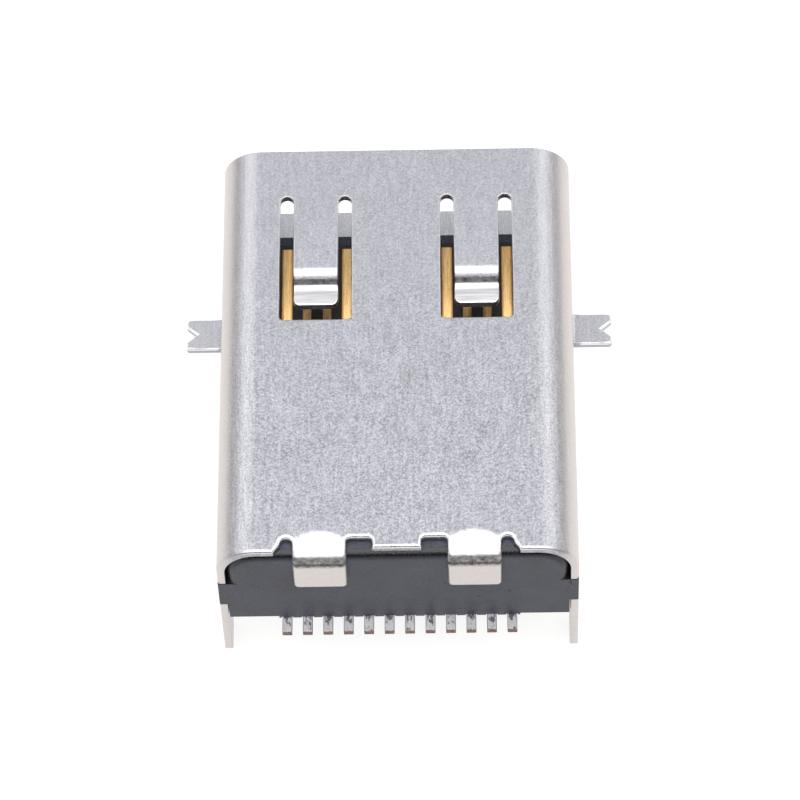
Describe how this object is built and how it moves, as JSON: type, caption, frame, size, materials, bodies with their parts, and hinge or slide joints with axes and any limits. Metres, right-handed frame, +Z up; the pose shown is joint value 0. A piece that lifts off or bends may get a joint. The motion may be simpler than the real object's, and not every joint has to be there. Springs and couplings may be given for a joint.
{
  "type": "usb-c socket",
  "caption": "Flat metal-shelled board socket: a rounded mouth round a contact tongue, sprung fingers, side ears, rear legs and a row of solder feet.",
  "frame": {"origin": "centre of the mouth, in the plane of the shell's front edge", "axes": "+Y out of the mouth towards the plug, +Z up from the board, +X across the socket"},
  "size_m": [0.0108, 0.0121, 0.0049],
  "materials": {
    "shell_steel": "satin, faintly brushed along the shell",
    "housing_plastic": "fine moulded matte",
    "insert_plastic": "fine moulded matte",
    "plate_steel": "satin",
    "contact_gold": "plated, satin"
  },
  "bodies": {
    "root": {"shell": "shell_steel", "housing": "housing_plastic", "upper_insert": "insert_plastic", "lower_insert": "insert_plastic", "mid_plate": "plate_steel", "ground_pad_top": "plate_steel", "ground_pad_bottom": "plate_steel", "upper_contact_01": "contact_gold", "upper_contact_02": "contact_gold", "upper_contact_03": "contact_gold", "upper_contact_04": "contact_gold", "upper_contact_05": "contact_gold", "upper_contact_06": "contact_gold", "upper_contact_07": "contact_gold", "upper_contact_08": "contact_gold", "upper_contact_09": "contact_gold", "upper_contact_10": "contact_gold", "upper_contact_11": "contact_gold", "upper_contact_12": "contact_gold", "lower_contact_01": "contact_gold", "lower_contact_02": "contact_gold", "lower_contact_03": "contact_gold", "lower_contact_04": "contact_gold", "lower_contact_05": "contact_gold", "lower_contact_06": "contact_gold", "lower_contact_07": "contact_gold", "lower_contact_08": "contact_gold", "lower_contact_09": "contact_gold", "lower_contact_10": "contact_gold", "lower_contact_11": "contact_gold", "lower_contact_12": "contact_gold"}
  },
  "joints": []
}
